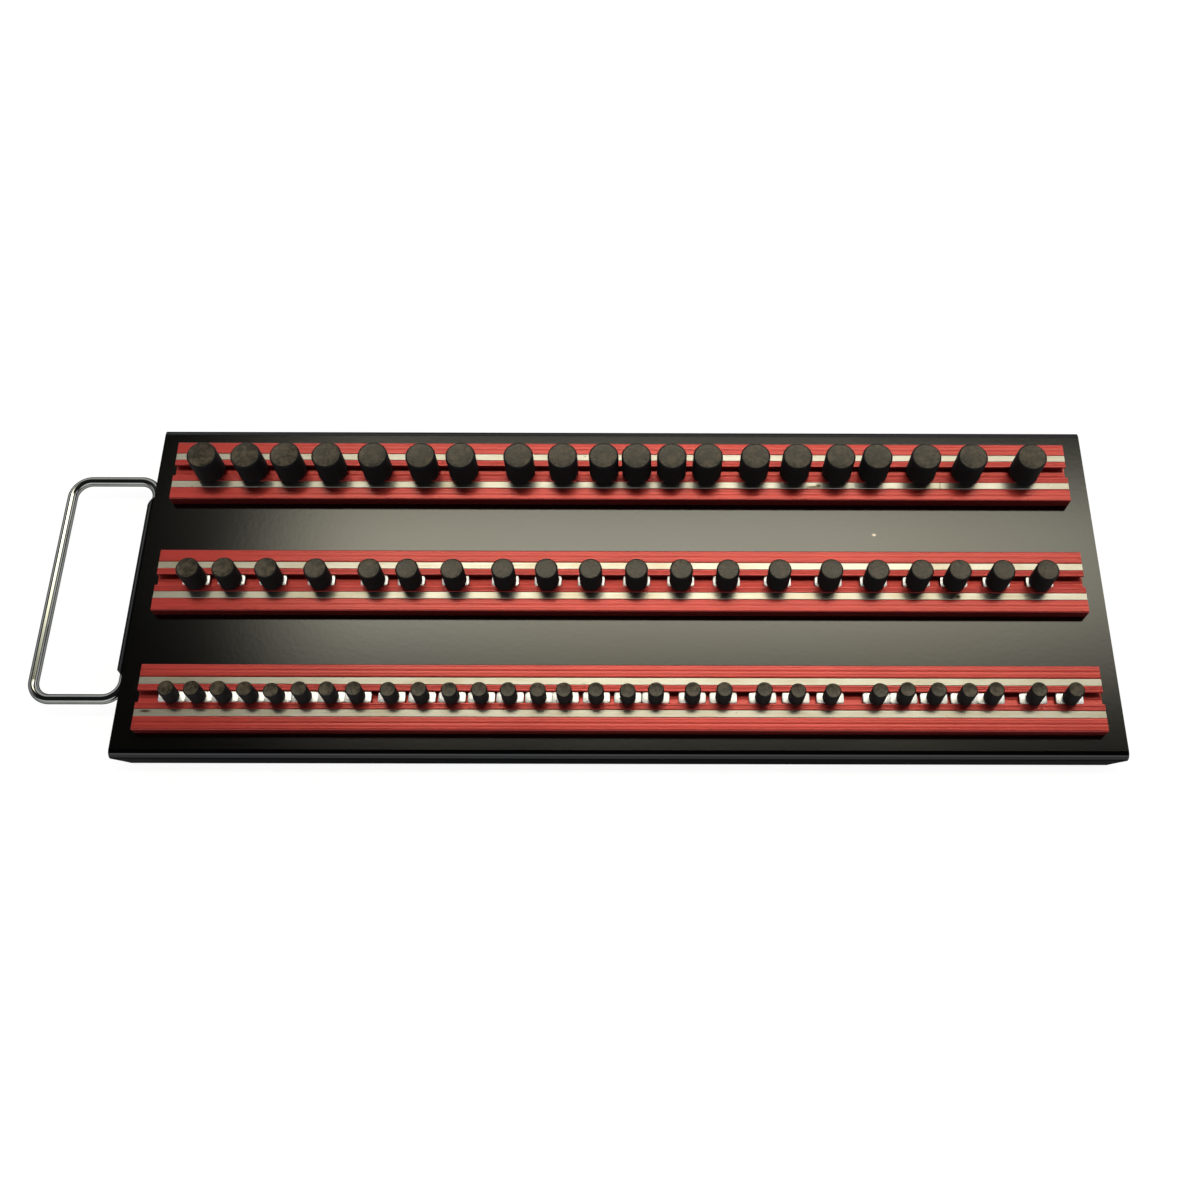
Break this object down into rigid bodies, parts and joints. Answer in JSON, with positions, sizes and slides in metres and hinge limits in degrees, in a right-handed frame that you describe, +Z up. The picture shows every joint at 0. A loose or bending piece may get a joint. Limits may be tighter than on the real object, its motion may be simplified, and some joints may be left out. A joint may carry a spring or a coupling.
{
  "type": "socket organizer tray",
  "caption": "Flat folded sheet-metal drawer tray with slotted aluminium rails, magnetic steel strips, sliding rubber socket posts and a swinging wire carry handle.",
  "frame": {"origin": "centre of the whole outline's bottom, the handle included, at the level the tray's flanges stand on", "axes": "+X along the rails, away from the handle; +Y to the rear, towards the half-inch rail; +Z up, out of the drawer"},
  "size_m": [0.5012, 0.1684, 0.0327],
  "materials": {
    "black_sheet": "black satin powder coat",
    "chrome_wire": "bright chrome plate",
    "red_anodised": "red anodised extrusion",
    "polished_strip": "bright drawn steel",
    "magnet": "rubber-bonded ferrite, matt",
    "screw_steel": "zinc plated",
    "post_rubber": "black moulded rubber, matt",
    "clip_steel": "nickel plated spring steel"
  },
  "bodies": {
    "tray": {"base_tray": "black_sheet", "rail_half": "red_anodised", "rail_three_eighths": "red_anodised", "rail_quarter": "red_anodised", "steel_strips_half": "polished_strip", "steel_strips_three_eighths": "polished_strip", "steel_strips_quarter": "polished_strip", "magnets_half": "magnet", "magnets_three_eighths": "magnet", "magnets_quarter": "magnet", "rail_screws": "screw_steel"},
    "handle": {"carry_handle": "chrome_wire"},
    "half_carriage_1": {"posts_half_1": "post_rubber", "clips_half_1": "clip_steel"},
    "half_carriage_2": {"post_half_2": "post_rubber", "clip_half_2": "clip_steel"},
    "half_carriage_3": {"posts_half_3": "post_rubber", "clips_half_3": "clip_steel"},
    "half_carriage_4": {"posts_half_4": "post_rubber", "clips_half_4": "clip_steel"},
    "half_carriage_5": {"posts_half_5": "post_rubber", "clips_half_5": "clip_steel"},
    "half_carriage_6": {"post_half_6": "post_rubber", "clip_half_6": "clip_steel"},
    "half_carriage_7": {"post_half_7": "post_rubber", "clip_half_7": "clip_steel"},
    "half_carriage_8": {"post_half_8": "post_rubber", "clip_half_8": "clip_steel"},
    "three_eighths_carriage_1": {"posts_three_eighths_1": "post_rubber", "clips_three_eighths_1": "clip_steel"},
    "three_eighths_carriage_2": {"post_three_eighths_2": "post_rubber", "clip_three_eighths_2": "clip_steel"},
    "three_eighths_carriage_3": {"posts_three_eighths_3": "post_rubber", "clips_three_eighths_3": "clip_steel"},
    "three_eighths_carriage_4": {"posts_three_eighths_4": "post_rubber", "clips_three_eighths_4": "clip_steel"},
    "three_eighths_carriage_5": {"post_three_eighths_5": "post_rubber", "clip_three_eighths_5": "clip_steel"},
    "three_eighths_carriage_6": {"post_three_eighths_6": "post_rubber", "clip_three_eighths_6": "clip_steel"},
    "three_eighths_carriage_7": {"post_three_eighths_7": "post_rubber", "clip_three_eighths_7": "clip_steel"},
    "three_eighths_carriage_8": {"posts_three_eighths_8": "post_rubber", "clips_three_eighths_8": "clip_steel"},
    "quarter_carriage_1": {"posts_quarter_1": "post_rubber", "clips_quarter_1": "clip_steel"},
    "quarter_carriage_2": {"posts_quarter_2": "post_rubber", "clips_quarter_2": "clip_steel"},
    "quarter_carriage_3": {"posts_quarter_3": "post_rubber", "clips_quarter_3": "clip_steel"},
    "quarter_carriage_4": {"posts_quarter_4": "post_rubber", "clips_quarter_4": "clip_steel"},
    "quarter_carriage_5": {"post_quarter_5": "post_rubber", "clip_quarter_5": "clip_steel"},
    "quarter_carriage_6": {"posts_quarter_6": "post_rubber", "clips_quarter_6": "clip_steel"},
    "quarter_carriage_7": {"post_quarter_7": "post_rubber", "clip_quarter_7": "clip_steel"},
    "quarter_carriage_8": {"post_quarter_8": "post_rubber", "clip_quarter_8": "clip_steel"}
  },
  "joints": [
    {"name": "handle_hinge", "type": "hinge", "parent": "tray", "child": "handle", "pos_m": [-0.20661, 0, 0.00704], "axis": [0, 1, 0], "range_deg": [-179, 0]},
    {"name": "half_slide_1", "type": "slide", "parent": "tray", "child": "half_carriage_1", "axis": [1, 0, 0], "range_m": [-0.01075, 0.00375]},
    {"name": "half_slide_2", "type": "slide", "parent": "tray", "child": "half_carriage_2", "axis": [1, 0, 0], "range_m": [-0.00375, 0.0042]},
    {"name": "half_slide_3", "type": "slide", "parent": "tray", "child": "half_carriage_3", "axis": [1, 0, 0], "range_m": [-0.0042, 0.0066]},
    {"name": "half_slide_4", "type": "slide", "parent": "tray", "child": "half_carriage_4", "axis": [1, 0, 0], "range_m": [-0.0066, 0.0042]},
    {"name": "half_slide_5", "type": "slide", "parent": "tray", "child": "half_carriage_5", "axis": [1, 0, 0], "range_m": [-0.0042, 0.00445]},
    {"name": "half_slide_6", "type": "slide", "parent": "tray", "child": "half_carriage_6", "axis": [1, 0, 0], "range_m": [-0.00445, 0.00385]},
    {"name": "half_slide_7", "type": "slide", "parent": "tray", "child": "half_carriage_7", "axis": [1, 0, 0], "range_m": [-0.00385, 0.0069]},
    {"name": "half_slide_8", "type": "slide", "parent": "tray", "child": "half_carriage_8", "axis": [1, 0, 0], "range_m": [-0.0069, 0.01385]},
    {"name": "three_eighths_slide_1", "type": "slide", "parent": "tray", "child": "three_eighths_carriage_1", "axis": [1, 0, 0], "range_m": [-0.01235, 0.0049]},
    {"name": "three_eighths_slide_2", "type": "slide", "parent": "tray", "child": "three_eighths_carriage_2", "axis": [1, 0, 0], "range_m": [-0.0049, 0.006]},
    {"name": "three_eighths_slide_3", "type": "slide", "parent": "tray", "child": "three_eighths_carriage_3", "axis": [1, 0, 0], "range_m": [-0.006, 0.00525]},
    {"name": "three_eighths_slide_4", "type": "slide", "parent": "tray", "child": "three_eighths_carriage_4", "axis": [1, 0, 0], "range_m": [-0.00525, 0.0043]},
    {"name": "three_eighths_slide_5", "type": "slide", "parent": "tray", "child": "three_eighths_carriage_5", "axis": [1, 0, 0], "range_m": [-0.0043, 0.00555]},
    {"name": "three_eighths_slide_6", "type": "slide", "parent": "tray", "child": "three_eighths_carriage_6", "axis": [1, 0, 0], "range_m": [-0.00555, 0.0055]},
    {"name": "three_eighths_slide_7", "type": "slide", "parent": "tray", "child": "three_eighths_carriage_7", "axis": [1, 0, 0], "range_m": [-0.0055, 0.0042]},
    {"name": "three_eighths_slide_8", "type": "slide", "parent": "tray", "child": "three_eighths_carriage_8", "axis": [1, 0, 0], "range_m": [-0.0042, 0.01455]},
    {"name": "quarter_slide_1", "type": "slide", "parent": "tray", "child": "quarter_carriage_1", "axis": [1, 0, 0], "range_m": [-0.0099, 0.00165]},
    {"name": "quarter_slide_2", "type": "slide", "parent": "tray", "child": "quarter_carriage_2", "axis": [1, 0, 0], "range_m": [-0.00165, 0.00225]},
    {"name": "quarter_slide_3", "type": "slide", "parent": "tray", "child": "quarter_carriage_3", "axis": [1, 0, 0], "range_m": [-0.00225, 0.0029]},
    {"name": "quarter_slide_4", "type": "slide", "parent": "tray", "child": "quarter_carriage_4", "axis": [1, 0, 0], "range_m": [-0.0029, 0.00175]},
    {"name": "quarter_slide_5", "type": "slide", "parent": "tray", "child": "quarter_carriage_5", "axis": [1, 0, 0], "range_m": [-0.00175, 0.0045]},
    {"name": "quarter_slide_6", "type": "slide", "parent": "tray", "child": "quarter_carriage_6", "axis": [1, 0, 0], "range_m": [-0.0045, 0.00355]},
    {"name": "quarter_slide_7", "type": "slide", "parent": "tray", "child": "quarter_carriage_7", "axis": [1, 0, 0], "range_m": [-0.00355, 0.00225]},
    {"name": "quarter_slide_8", "type": "slide", "parent": "tray", "child": "quarter_carriage_8", "axis": [1, 0, 0], "range_m": [-0.00225, 0.0093]}
  ]
}
